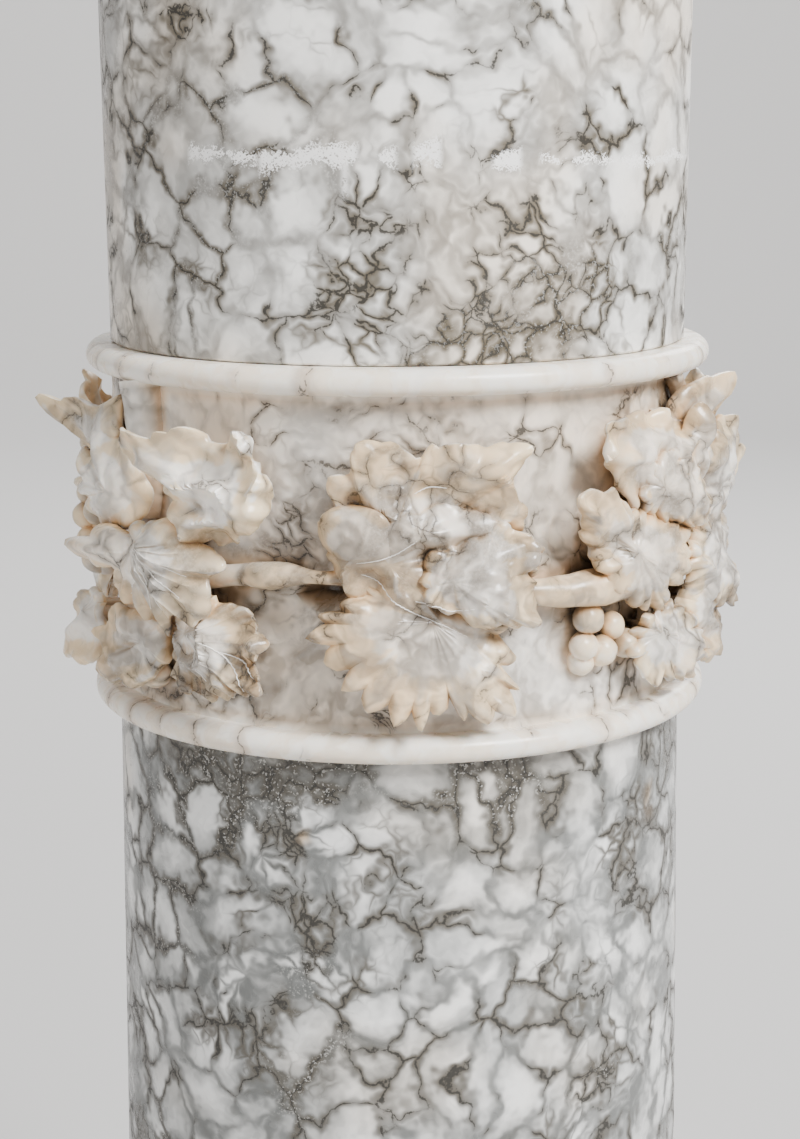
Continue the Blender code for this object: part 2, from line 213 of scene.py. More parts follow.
FRONT_LEAVES = (
    Leaf("middle_upper", -1.5, 0.03,
         ((0, 0.38), (9, 0.35), (15, 0.41), (30, 0.46), (45, 0.56), (53, 0.44), (66, 0.45), (78, 0.39),
          (88, 0.44), (97, 0.40), (110, 0.43), (124, 0.36), (150, 0.20), (200, 0.15), (240, 0.16),
          (273, 0.19), (296, 0.25), (308, 0.23), (320, 0.32), (331, 0.30), (341, 0.39)),
         0.0085, 0.0014, 0.42, 0.05, 30, 0.34, 1.3),
    Leaf("middle_fold", 8.1, -0.01,
         ((0, 0.10), (50, 0.18), (80, 0.27), (94, 0.24), (108, 0.28), (125, 0.31), (146, 0.21),
          (180, 0.11), (270, 0.09)),
         0.0080, 0.0016, 0.74, 0.16, 130, -0.20, 1.0),
    Leaf("middle_knob", -7.5, 0.115,
         ((0, 0.09), (70, 0.12), (110, 0.13), (180, 0.08), (270, 0.10)),
         0.0300, 0.0, 0.60, 0.06, 40, 0.10, 0.5),
    Leaf("middle_lip", 3.5, 0.125,
         ((0, 0.06), (60, 0.13), (90, 0.22), (112, 0.15), (180, 0.06), (240, 0.11), (272, 0.17),
          (310, 0.10)),
         0.0200, 0.0006, 0.58, 0.10, 20, 0.16, 0.8),
    Leaf("middle_shoulder", 12.0, 0.055,
         ((0, 0.10), (50, 0.14), (84, 0.20), (110, 0.20), (140, 0.13), (180, 0.08), (270, 0.12),
          (320, 0.09)),
         0.0090, 0.0014, 0.52, 0.12, 60, 0.14, 1.0),
    Leaf("middle_lower", 5.3, -0.14,
         ((0, 0.10), (60, 0.14), (104, 0.26), (120, 0.31), (136, 0.39), (152, 0.36), (171, 0.28),
          (186, 0.34), (204, 0.33), (226, 0.34), (246, 0.34), (262, 0.37), (283, 0.26), (320, 0.14)),
         0.0092, 0.0052, 0.40, 0.20, 195, 0.14, 0.7),
    Leaf("left_upper", -30.9, 0.197,
         ((12, 0.18), (33, 0.26), (55, 0.20), (77, 0.20), (111, 0.18), (145, 0.14), (180, 0.15),
          (234, 0.16), (270, 0.16), (284, 0.19), (298, 0.27), (312, 0.35), (326, 0.26), (347, 0.25)),
         0.0090, 0.0016, 0.62, 0.10, 330, 0.34, 1.8),
    Leaf("left_side", -57.1, 0.169,
         ((22, 0.15), (60, 0.15), (110, 0.14), (161, 0.13), (215, 0.17), (240, 0.22), (250, 0.20),
          (262, 0.33), (272, 0.24), (285, 0.29), (300, 0.18), (318, 0.25), (340, 0.17)),
         0.0110, 0.0012, 0.50, 0.06, 280, 0.12, 0.6),
    Leaf("left_point", -48.6, 0.010,
         ((0, 0.05), (90, 0.05), (160, 0.06), (235, 0.12), (253, 0.24), (263, 0.44), (275, 0.22),
          (320, 0.06)),
         0.0300, 0.0, 0.74, 0.06, 262, 0.10, 0.4),
    Leaf("left_fan", -47.1, 0.027,
         ((20, 0.08), (77, 0.20), (98, 0.33), (106, 0.29), (122, 0.33), (135, 0.32), (147, 0.24),
          (160, 0.29), (170, 0.18), (183, 0.24), (192, 0.19), (206, 0.21), (223, 0.20), (250, 0.12),
          (300, 0.07)),
         0.0090, 0.0012, 0.68, -0.02, 160, 0.06, 0.5, 0.0008),
    Leaf("left_lower", -37.7, -0.217,
         ((0, 0.08), (50, 0.16), (80, 0.25), (97, 0.29), (110, 0.26), (123, 0.32), (140, 0.25),
          (165, 0.23), (180, 0.19), (194, 0.21), (226, 0.13), (300, 0.07)),
         0.0062, 0.0020, 0.42, 0.06, 120, 0.10, 1.1, 0.0003),
    Leaf("left_rolled", -47.9, -0.270,
         ((0, 0.08), (90, 0.08), (152, 0.10), (210, 0.19), (238, 0.30), (250, 0.20), (267, 0.26),
          (280, 0.20), (293, 0.21), (320, 0.12)),
         0.0110, 0.0016, 0.46, 0.06, 250, 0.42, 0.8),
    Leaf("left_horn", -66.0, 0.300,
         ((0, 0.12), (35, 0.18), (63, 0.16), (90, 0.12), (180, 0.12), (240, 0.09), (276, 0.18),
          (300, 0.30), (315, 0.20)),
         0.0200, 0.0006, 0.40, 0.10, 300, 0.70, 0.5),
    Leaf("left_profile", -66.5, -0.235,
         ((0, 0.07), (100, 0.08), (150, 0.12), (182, 0.19), (210, 0.22), (230, 0.31), (245, 0.22),
          (268, 0.21), (300, 0.10)),
         0.0100, 0.0024, 0.60, 0.10, 230, 0.18, 0.8),
    Leaf("right_upper", 48.1, 0.272,
         ((12, 0.15), (42, 0.18), (66, 0.24), (82, 0.31), (95, 0.35), (121, 0.30), (160, 0.18),
          (200, 0.18), (240, 0.17), (268, 0.20), (283, 0.27), (303, 0.29), (328, 0.19), (350, 0.17)),
         0.0120, 0.0016, 0.42, 0.08, 310, 0.24, 1.7),
    Leaf("right_fan", 47.8, 0.190,
         ((0, 0.10), (50, 0.16), (74, 0.24), (93, 0.33), (106, 0.35), (119, 0.29), (143, 0.15),
          (180, 0.09), (280, 0.08)),
         0.0066, 0.0020, 0.60, 0.02, 100, 0.06, 0.7),
    Leaf("right_star", 41.5, 0.013,
         ((0, 0.13), (40, 0.15), (70, 0.20), (88, 0.30), (99, 0.31), (112, 0.37), (122, 0.32),
          (131, 0.26), (141, 0.31), (152, 0.24), (168, 0.19), (190, 0.14), (240, 0.12), (280, 0.15),
          (300, 0.21), (318, 0.30), (338, 0.24), (350, 0.17)),
         0.0075, 0.0016, 0.56, 0.02, 320, 0.10, 0.7),
    Leaf("right_lower", 50.1, -0.260,
         ((0, 0.08), (60, 0.14), (95, 0.24), (112, 0.38), (122, 0.30), (140, 0.28), (156, 0.19),
          (190, 0.18), (215, 0.14), (240, 0.14), (300, 0.08)),
         0.0090, 0.0036, 0.44, 0.12, 150, 0.20, 0.6),
    Leaf("right_horn", 65.0, 0.360,
         ((0, 0.12), (35, 0.16), (60, 0.25), (85, 0.16), (130, 0.12), (180, 0.12), (270, 0.09)),
         0.0200, 0.0006, 0.36, 0.10, 60, 0.46, 0.5),
    Leaf("right_tongue", 62.0, 0.270,
         ((0, 0.16), (45, 0.08), (90, 0.06), (150, 0.09), (180, 0.17), (215, 0.09), (270, 0.06),
          (320, 0.09)),
         0.0200, 0.0006, 0.56, 0.04, 0, 0.10, 0.5),
    Leaf("right_edge_upper", 71.0, 0.140,
         ((0, 0.22), (35, 0.25), (60, 0.24), (90, 0.26), (120, 0.22), (160, 0.18), (220, 0.18),
          (270, 0.19), (330, 0.20)),
         0.0085, 0.0024, 0.60, 0.14, 60, 0.22, 1.1),
    Leaf("right_edge_lower", 70.0, -0.060,
         ((0, 0.16), (60, 0.20), (90, 0.24), (118, 0.27), (135, 0.28), (160, 0.22), (190, 0.18),
          (230, 0.18), (270, 0.20), (310, 0.18)),
         0.0072, 0.0026, 0.62, 0.10, 120, 0.16, 1.0),
    Leaf("right_edge_low", 69.0, -0.235,
         ((0, 0.14), (60, 0.13), (110, 0.18), (140, 0.20), (180, 0.20), (220, 0.18), (270, 0.16),
          (320, 0.13)),
         0.0080, 0.0020, 0.50, 0.06, 160, 0.14, 0.9),
)

# A plain vine leaf's outline, as shares of its length and turned from its midrib
VINE_HALF = ((0, 1.0), (32, 0.74), (58, 0.93), (88, 0.60), (112, 0.72), (146, 0.44), (180, 0.25))


def vine(turn, length):
    right = [((turn + d) % 360, r * length) for d, r in VINE_HALF]
    left = [((turn - d) % 360, r * length * 0.94) for d, r in VINE_HALF[1:-1]]
    return tuple(sorted(right + left))


def back_leaf(number, angle, height, turn, length, curl):
    return Leaf(f"back_{number}", angle, height, vine(turn, length), 0.0090, 0.0024,
                0.44, 0.10, turn, curl, 1.0)


BACK_LEAVES = tuple(back_leaf(number, *values) for number, values in enumerate((
    (104.0, 0.14, 15, 0.32, 0.20),
    (118.0, -0.10, 150, 0.36, 0.18),
    (146.0, 0.12, 340, 0.36, 0.26),
    (160.0, -0.14, 200, 0.33, 0.16),
    (187.0, 0.06, 40, 0.44, 0.24),
    (194.0, -0.18, 150, 0.33, 0.18),
    (222.0, 0.14, 315, 0.36, 0.24),
    (232.0, -0.14, 165, 0.35, 0.16),
    (255.0, 0.15, 10, 0.32, 0.24),
    (257.0, -0.16, 200, 0.30, 0.16),
)))


def smooth(low, high, value):
    t = min(max((value - low) / (high - low), 0.0), 1.0)
    return t * t * (3 - 2 * t)


def plain_reach(outline, direction):
    """The reach of an outline without its teeth, eased from each point to the next."""
    direction %= 360
    points = sorted(outline)
    points = [(points[-1][0] - 360, points[-1][1])] + points + [(points[0][0] + 360, points[0][1])]
    for (d0, r0), (d1, r1) in zip(points, points[1:]):
        if d0 <= direction < d1:
            return r0 + (r1 - r0) * smooth(d0, d1, direction)


def leaf_rays(leaf):
    """Rays round a leaf, evenly along its edge: (direction, plain reach, reach, across its tooth)."""
    samples = 720
    plain = [plain_reach(leaf.outline, 360 * i / samples) * BAND for i in range(samples + 1)]
    edge = [0.0]
    for i in range(samples):
        turn = math.tau / samples
        edge.append(edge[-1] + math.hypot(plain[i + 1] - plain[i], plain[i] * turn))
    teeth = max(round(edge[-1] / leaf.pitch), 5)
    highest = max(range(samples), key=lambda i: plain[i])
    count = teeth * TOOTH_STEPS
    wave = leaf.angle * 0.7
    rays = []
    i = 0
    for k in range(count):
        target = edge[-1] * k / count
        while edge[i + 1] < target:
            i += 1
        direction = 360 * (i + (target - edge[i]) / (edge[i + 1] - edge[i])) / samples
        phase = (target - edge[highest]) / edge[-1] * teeth + 0.5
        phase += 0.16 * math.sin(math.radians(direction * 3) + wave)
        across = abs(2 * (phase % 1) - 1)
        depth = leaf.depth * (1 + 0.4 * math.sin(2.4 * math.floor(phase) + wave))
        reach = plain_reach(leaf.outline, direction) * BAND
        rays.append((direction, reach, reach - min(depth, 0.5 * reach) * across**1.1, across))
    return rays


# How a leaf's rim turns under towards its boss: (share of the reach, depth in leaf thicknesses)
RIM = ((1.0, 0.27), (1.0, 0.68), (0.97, 1.0), (0.78, 1.3), (0.52, 2.2))


def leaf_solid(leaf, rings):
    """A leaf with rounded teeth, soft lobes and a thick rim, on a boss that holds it to the drum."""
    bm = bmesh.new()
    rays = leaf_rays(leaf)
    longest = max(ray[1] for ray in rays)
    mean = sum(ray[1] for ray in rays) / len(rays)
    wave = leaf.angle * 0.37 + leaf.height * 11
    degrees = BAND_TURN / BAND

    def place(ray, q, drop, root=None):
        """The leaf's face at share q of a ray, less a drop, or the drum under it at a root's depth."""
        direction, plain, reach, across = ray
        heading = math.radians(direction + 5 * math.sin(wave + q * 2.2) * q)
        facing = math.cos(heading - math.radians(leaf.toward))
        share = plain / longest
        along = reach * q * (1 - 0.25 * abs(leaf.curl) * max(facing, 0) * q**3)
        angle = leaf.angle + along * math.sin(heading) * degrees
        up = leaf.height * BAND + along * math.cos(heading)
        if root is not None:
            return on_drum(angle, up, root)
        dome = LEAF_DOME * (1 - q**2.4)
        roll = leaf.curl * max(facing, 0) ** 1.5 * share * q**3
        lobes = 0.20 * (plain - mean) / longest * math.sin(math.pi * min(q, 0.9) ** 0.9)
        tooth = min(leaf.depth / 0.0030, 1.0) * 0.08 * (1 - across**1.5) * smooth(0.60, 0.92, q)
        ruffle = 0.05 * math.sin(3 * heading + wave) * q**2
        out = leaf.stand + leaf.tilt * facing * share * q + roll + dome + lobes + tooth + ruffle
        out -= 0.08 * q**6
        point = on_drum(angle, up, 0.0)
        fold = 1 - 4 * abs(noise.noise(point * 76))
        swell = 0.12 * noise.noise(point * 44) + 0.085 * fold + 0.07 * noise.noise(point * 140)
        out += leaf.crumple * swell * smooth(0.0, 0.3, q)
        along_vein = smooth(0.1, 0.25, q) * (1 - smooth(0.75, 0.95, q))
        ridge = leaf.vein * (1 - smooth(0.0, 0.3, across)) * along_vein
        return on_drum(angle, up, out * CARVING_DEPTH + ridge - drop)

    heart = bm.verts.new(place(rays[0], 0.0, 0.0))
    loops = []
    for k in range(1, rings + 1):
        q = (k / rings) ** 0.9
        loops.append([bm.verts.new(place(ray, q * 0.985, 0.0)) for ray in rays])
    for q, share in RIM:
        loops.append([bm.verts.new(place(ray, q, LEAF_THICKNESS * share)) for ray in rays])
    loops.append([bm.verts.new(place(ray, BOSS_REACH, 0.0, -CARVING_ROOT)) for ray in rays])
    count = len(rays)
    for i in range(count):
        bm.faces.new((heart, loops[0][i], loops[0][(i + 1) % count]))
    for inner, outer in zip(loops, loops[1:]):
        for i in range(count):
            j = (i + 1) % count
            bm.faces.new((inner[i], outer[i], outer[j], inner[j]))
    root = bm.verts.new(on_drum(leaf.angle, leaf.height * BAND, -CARVING_ROOT))
    for i in range(count):
        bm.faces.new((root, loops[-1][(i + 1) % count], loops[-1][i]))
    bmesh.ops.triangulate(bm, faces=bm.faces)
    bmesh.ops.recalc_face_normals(bm, faces=bm.faces)
    return new_object("leaf_" + leaf.name, bm)


def grape(name, centre, radius):
    """A slightly uneven ball."""
    bm = bmesh.new()
    bmesh.ops.create_icosphere(bm, subdivisions=3, radius=radius)
    for v in bm.verts:
        v.co = centre + v.co * (1 + 0.09 * noise.noise(v.co * 240 + centre * 90))
    return new_object(name, bm)


def tube(name, points, radii, sides=16, closed=False):
    """A tube along points on the drum, given as (angle, height, out)."""
    bm = bmesh.new()
    centres = [on_drum(*p) for p in points]
    count = len(centres)
    rings = []
    for i, centre in enumerate(centres):
        before = centres[(i - 1) % count if closed else max(i - 1, 0)]
        after = centres[(i + 1) % count if closed else min(i + 1, count - 1)]
        along = (after - before).normalized()
        outward = Vector((centre.x, centre.y, 0)).normalized()
        across = along.cross(outward).normalized()
        outward = across.cross(along).normalized()
        ring = []
        for k in range(sides):
            a = math.tau * k / sides
            offset = (outward * math.cos(a) + across * math.sin(a)) * radii[i]
            uneven = 1 + 0.12 * noise.noise((centre + offset) * 130)
            ring.append(bm.verts.new(centre + offset * uneven))
        rings.append(ring)
    pairs = list(zip(rings, rings[1:])) + ([(rings[-1], rings[0])] if closed else [])
    for ring, following in pairs:
        for k in range(sides):
            m = (k + 1) % sides
            bm.faces.new((ring[k], following[k], following[m], ring[m]))
    if not closed:
        bm.faces.new(rings[0])
        bm.faces.new(list(reversed(rings[-1])))
    bmesh.ops.triangulate(bm, faces=bm.faces)
    bmesh.ops.recalc_face_normals(bm, faces=bm.faces)
    return new_object(name, bm)


def stem_height(angle):
    """How far the running stem's middle lies over the collar's middle."""
    return BAND * (-0.055 + 0.036 * math.sin(math.radians(4 * (angle + 35.5))))


def bump_at(angle, middle, half_width):
    """1 at the middle angle, easing to 0 at half_width degrees from it."""
    away = abs((angle - middle + 180) % 360 - 180)
    return 1 - smooth(0, half_width, away)


def stem():
    """The running stem: a knob and a thin bridge left of the middle, and thick right of it."""
    steps = 260
    points, radii = [], []
    for i in range(steps):
        angle = 360 * i / steps
        knot = 0.5 + 0.5 * math.sin(math.radians(7 * angle + 40))
        knob = bump_at(angle, -22, 7)
        bridge = bump_at(angle, -13, 9)
        thick = bump_at(angle, 42, 26)
        out = 0.0028 + 0.0008 * math.sin(math.radians(5 * angle)) + 0.0034 * knob + 0.0062 * bridge
        points.append((angle, stem_height(angle), out + 0.0040 * thick))
        swell = 0.85 + 0.25 * knot**4 + 0.25 * knob - 0.35 * bridge + 0.70 * thick
        radii.append(STEM_RADIUS * swell)
    return tube("stem", points, radii, closed=True)


def branch(name, start, end, radius, out):
    """A short branch between two (angle, height) points, heights as shares of the band."""
    steps = 16
    points, radii = [], []
    for i in range(steps + 1):
        t = i / steps
        bow = math.sin(math.pi * t)
        angle = start[0] + (end[0] - start[0]) * t + 1.5 * bow
        height = (start[1] + (end[1] - start[1]) * t) * BAND
        points.append((angle, height, out * (0.35 + 0.65 * bow)))
        radii.append(radius * (1.1 - 0.2 * bow))
    return tube(name, points, radii)


# Branches: (name, start, end, radius, out)
BRANCHES = (
    ("left_branch", (-55.5, 0.50), (-56.5, 0.10), 0.0078, 0.0008),
    ("left_bunch_core", (-77.0, 0.18), (-79.0, -0.14), 0.0050, 0.0060),
    ("left_petiole", (-38, -0.05), (-40, -0.22), 0.0024, 0.0060),
    ("middle_petiole", (4, -0.02), (5, -0.16), 0.0030, 0.0060),
    ("right_petiole", (45, -0.03), (51, -0.28), 0.0026, 0.0060),
    ("right_branch", (46, 0.02), (51, 0.24), 0.0030, 0.0060),
    ("right_high_branch", (64, 0.50), (70, 0.10), 0.0030, 0.0050),
)

# Single grapes of the front: (angle, height as a share of the band, out in radii)
FRONT_GRAPES = (
    (35.7, -0.186, 0.90), (41.2, -0.222, 0.88), (34.9, -0.270, 0.82), (38.9, -0.292, 0.92),
    (35.3, -0.322, 0.35), (45.5, -0.290, 0.80),
    (-55.6, -0.350, 0.90), (-53.8, -0.250, 0.90), (-59.0, -0.305, 0.90), (-50.5, -0.390, 0.85),
    (-76.0, 0.115, 1.90), (-80.5, 0.160, 1.40), (-77.0, 0.035, 2.10), (-72.0, 0.060, 1.70),
    (-76.0, -0.045, 1.90), (-83.0, 0.075, 1.50), (-84.0, -0.010, 1.40), (-79.0, -0.115, 1.50),
)

# Bunches of the back: (angle, height as a share of the band, out in radii, grapes in each row)
BACK_BUNCHES = (
    (131.0, -0.08, 1.4, (2, 3, 2, 1)),
    (177.5, -0.13, 0.7, (2, 3, 2, 1)),
    (243.0, -0.12, 1.9, (2, 3, 2, 1)),
)


def grapes():
    items = []
    for i, (angle, height, out) in enumerate(FRONT_GRAPES):
        radius = GRAPE_RADIUS * (0.99 + 0.07 * math.cos(2.2 * i))
        items.append(grape(f"grape_{i}", on_drum(angle, height * BAND, out * GRAPE_RADIUS), radius))
    spacing = 1.8 * GRAPE_RADIUS
    row_drop = 0.87 * spacing
    step = math.degrees(spacing / SHAFT_RADIUS)
    for b, (middle, top, base, rows) in enumerate(BACK_BUNCHES):
        for row, count in enumerate(rows):
            aside = 0.25 if row % 2 else -0.25
            for i in range(count):
                angle = middle + (i - (count - 1) / 2 + aside) * step
                height = top * BAND - row * row_drop
                out = GRAPE_RADIUS * (base + 0.45 * ((row + i) % 2))
                centre = on_drum(angle, height, out)
                items.append(grape(f"back_grape_{b}_{row}_{i}", centre, GRAPE_RADIUS))
    return items


def keep_largest(bm):
    """Deletes the small closed pockets that lie inside a united solid."""
    left = set(bm.verts)
    islands = []
    while left:
        front = [left.pop()]
        island = list(front)
        while front:
            v = front.pop()
            near = [e.other_vert(v) for e in v.link_edges]
            fresh = [other for other in near if other in left]
            left.difference_update(fresh)
            front += fresh
            island += fresh
        islands.append(island)
    islands.sort(key=len)
    bmesh.ops.delete(bm, geom=[v for island in islands[:-1] for v in island], context="VERTS")


def united(name, base, forms):
    """Makes one solid of a base and the forms that stand on it, in the base itself."""
    group = bpy.data.collections.new(name + "_forms")
    bpy.context.scene.collection.children.link(group)
    for form in forms:
        bpy.context.scene.collection.objects.unlink(form)
        group.objects.link(form)
    union = base.modifiers.new("forms", "BOOLEAN")
    union.operation = "UNION"
    union.operand_type = "COLLECTION"
    union.collection = group
    union.solver = "MANIFOLD"
    graph = bpy.context.evaluated_depsgraph_get()
    bm = bmesh.new()
    bm.from_object(base, graph)
    base.modifiers.clear()
    bmesh.ops.triangulate(bm, faces=bm.faces)
    keep_largest(bm)
    bm.to_mesh(base.data)
    bm.free()
    for form in forms:
        bpy.data.objects.remove(form)
    bpy.data.collections.remove(group)


# Places where the ground is cut deeper: angle, height as a share of the band, half its width in
# degrees, half its height as a share, and depth in metres
CUTS = (
    (-14.0, -0.088, 7.0, 0.046, 0.0120),
    (-21.0, -0.170, 10.0, 0.120, 0.0036),
    (31.0, 0.060, 3.0, 0.090, 0.0025),
    (31.0, -0.270, 3.0, 0.080, 0.0025),
    (15.5, -0.115, 5.0, 0.030, 0.0050),
    (-60.0, -0.120, 5.0, 0.120, 0.0050),
)


def cut_depth(point):
    """How far the band's ground lies below its drum at a point, by the chisel and by the cuts."""
    height = (point.z - COLLAR_MIDDLE) / BAND
    inside = smooth(0.0, 0.04, 0.5 - abs(height))
    angle = math.degrees(math.atan2(point.x, -point.y))
    depth = GROUND_UNEVEN * (0.5 + noise.noise(point * 70) + 0.5 * noise.noise(point * 190))
    for middle, level, half_width, half_height, deepest in CUTS:
        away = math.hypot((angle - middle) / half_width, (height - level) / half_height)
        depth += deepest * (1 - smooth(0.35, 1.0, away))
    return inside * depth


def collar():
    """The drum with its two bead rings, the stem, the branches, the grapes and all the leaves."""
    ring_r = SHAFT_RADIUS + RING_STEP
    lower_z = COLLAR_BASE + RING_BEAD_RADIUS
    upper_z = COLLAR_TOP - RING_BEAD_RADIUS
    band_base = (SHAFT_RADIUS, lower_z + RING_BEAD_RADIUS)
    band_top = (SHAFT_RADIUS, upper_z - RING_BEAD_RADIUS)
    profile = arc(ring_r, lower_z, RING_BEAD_RADIUS, -90, 90, 12)
    profile += straight(band_base, band_top, DRUM_ROWS)
    profile.append(band_top)
    profile += arc(ring_r, upper_z, RING_BEAD_RADIUS, -90, 90, 12)
    bm = turned(profile)
    for v in bm.verts:
        v.co -= Vector((v.co.x, v.co.y, 0)).normalized() * cut_depth(v.co)
    bmesh.ops.triangulate(bm, faces=bm.faces)
    drum = new_object("vine_collar_stone", bm)
    forms = [stem()] + grapes()
    forms += [branch(*values) for values in BRANCHES]
    forms += [leaf_solid(leaf, FRONT_LEAF_RINGS) for leaf in FRONT_LEAVES]
    forms += [leaf_solid(leaf, BACK_LEAF_RINGS) for leaf in BACK_LEAVES]
    united("vine_collar_stone", drum, forms)
    shade_round(drum, CARVED_CREASE)
    return drum


def shaft(name, low, high, base_radius, top_radius):
    """A drum of one shaft between two heights, straight from its base to its top, with eased edges."""
    side_base = (base_radius, low + FINE_EDGE)
    side_top = (top_radius, high - FINE_EDGE)
    profile = [(base_radius - FINE_EDGE, low)]
    profile += straight(side_base, side_top, SHAFT_ROWS)
    profile.append(side_top)
    profile.append((top_radius - FINE_EDGE, high))
    item = new_object(name, turned(profile))
    shade_round(item, TURNED_CREASE)
    return item


def hollow(lower_r, lower_z, upper_r, upper_z, steps=20):
    """Points (r, z) of a quarter-round hollow, level at its wider end and upright at the other."""
    points = []
    for i in range(steps + 1):
        a = math.pi / 2 * i / steps
        if upper_r < lower_r:
            share_r, share_z = math.sin(a), 1 - math.cos(a)
        else:
            share_r, share_z = 1 - math.cos(a), math.sin(a)
        r = lower_r + (upper_r - lower_r) * share_r
        points.append((r, lower_z + (upper_z - lower_z) * share_z))
    return points


def slab(name, low, high):
    """A square slab between two corners, with rounded edges that wear has made uneven."""
    bm = bmesh.new()
    bmesh.ops.create_cube(bm, size=1.0)
    for v in bm.verts:
        v.co = Vector([l + (c + 0.5) * (h - l) for c, l, h in zip(v.co, low, high)])
    edges = bm.edges[:]
    bmesh.ops.bevel(bm, geom=edges, offset=SLAB_BEVEL, segments=4, profile=0.5, affect="EDGES")
    long_edges = [e for e in bm.edges if e.calc_length() > 4 * SLAB_BEVEL]
    bmesh.ops.subdivide_edges(bm, edges=long_edges, cuts=SLAB_CUTS, use_grid_fill=True)
    bm.normal_update()
    centre = (low + high) / 2
    half = (high - low) / 2
    for v in bm.verts:
        offset = v.co - centre
        # The second nearest of the slab's sides: it is close only along an edge
        near = sorted(half[k] - abs(offset[k]) for k in range(3))[1]
        chip = max(noise.noise(v.co * 60) + 0.3 * noise.noise(v.co * 150), 0.0)
        v.co -= v.normal * SLAB_WEAR * chip * (1 - smooth(0.0, 3 * SLAB_BEVEL, near))
    bmesh.ops.triangulate(bm, faces=bm.faces)
    return new_object(name, bm)


def with_turning(name, base, profile):
    """One stone from a slab and the mouldings turned on it."""
    bm = turned(profile)
    bmesh.ops.triangulate(bm, faces=bm.faces)
    united(name + "_stone", base, [new_object(name + "_turning", bm)])
    shade_round(base, TURNED_CREASE)
    return base


def foot():
    """A square plinth, a torus, a fillet, a hollow and the seat of the shaft."""
    bulge = FOOT_TORUS_HEIGHT / 2
    fillet_r = FOOT_TORUS_RADIUS - bulge
    seat_r = lower_high.x + FOOT_SEAT_MARGIN
    fillet_base = PLINTH_HEIGHT + FOOT_TORUS_HEIGHT
    hollow_base = fillet_base + FOOT_FILLET_HEIGHT
    hollow_top = hollow_base + FOOT_HOLLOW_HEIGHT
    profile = [(fillet_r, PLINTH_HEIGHT - FUSE_OVERLAP)]
    profile += arc(fillet_r, PLINTH_HEIGHT + bulge, bulge, -90, 90, 24)
    profile += [(fillet_r, hollow_base - FINE_EDGE), (fillet_r - FINE_EDGE, hollow_base)]
    profile += hollow(fillet_r - FOOT_FILLET_STEP, hollow_base, seat_r, hollow_top)
    profile += [(seat_r, foot_high.z - FINE_EDGE), (seat_r - FINE_EDGE, foot_high.z)]
    base = slab("foot_stone", foot_low, Vector((foot_high.x, foot_high.y, PLINTH_HEIGHT)))
    return with_turning("foot", base, profile)


def cap():
    """A neck bead, a hollow, an ovolo and the square slab that carries what stands on the column."""
    neck_r = upper_high.x
    hollow_base = cap_low.z + 2 * CAP_BEAD_RADIUS
    ovolo_base = hollow_base + CAP_HOLLOW_HEIGHT
    bulge = CAP_OVOLO_HEIGHT / 2
    ovolo_r = CAP_OVOLO_RADIUS - bulge
    slab_base = ovolo_base + CAP_OVOLO_HEIGHT
    profile = arc(neck_r, cap_low.z + CAP_BEAD_RADIUS, CAP_BEAD_RADIUS, -90, 90, 16)
    profile += hollow(neck_r, hollow_base, ovolo_r, ovolo_base)[1:]
    profile += arc(ovolo_r, ovolo_base + bulge, bulge, -90, 90, 24)[1:]
    profile.append((ovolo_r, slab_base + FUSE_OVERLAP))
    base = slab("cap_stone", Vector((cap_low.x, cap_low.y, slab_base)), cap_high)
    return with_turning("cap", base, profile)


# Fine pale lines that stand out of the leaves: (angle, height as a share of the band) points
HAIRLINES = (
    ((-6.5, 0.035), (-1.3, 0.055), (2.8, 0.105)),
    ((-6.0, -0.005), (-3.0, -0.030), (-0.6, -0.080), (3.5, -0.120), (7.0, -0.148), (11.0, -0.186)),
    ((2.6, -0.075), (5.5, -0.082), (8.1, -0.101), (11.1, -0.090)),
    ((2.5, 0.235), (4.8, 0.252), (7.5, 0.250)),
    ((-46.6, 0.020), (-46.4, -0.060), (-49.5, -0.125)),
    ((-46.2, 0.020), (-44.0, -0.060), (-43.0, -0.150)),
    ((-46.0, 0.022), (-42.6, -0.055), (-41.0, -0.150)),
    ((-45.8, 0.025), (-41.0, -0.030), (-36.0, -0.098)),
    ((-45.6, 0.028), (-40.0, 0.000), (-34.5, -0.030)),
    ((-36.5, -0.215), (-32.0, -0.240), (-28.0, -0.306), (-25.5, -0.365)),
    ((-37.0, -0.220), (-35.5, -0.280), (-33.0, -0.350)),
    ((-31.0, -0.255), (-27.0, -0.280), (-24.0, -0.325)),
)


def between(p, q, r, s, t):
    """A Catmull-Rom curve's value at share t of the way from q to r."""
    square = 2 * p - 5 * q + 4 * r - s
    cube = 3 * q - p - 3 * r + s
    return 0.5 * (2 * q + (r - p) * t + square * t**2 + cube * t**3)


def eased(points, steps):
    """Points along a smooth curve through the given ones."""
    ends = [points[0], *points, points[-1]]
    path = []
    for a, b, c, d in zip(ends, ends[1:], ends[2:], ends[3:]):
        for i in range(steps):
            path.append(tuple(between(*values, i / steps) for values in zip(a, b, c, d)))
    return path + [points[-1]]


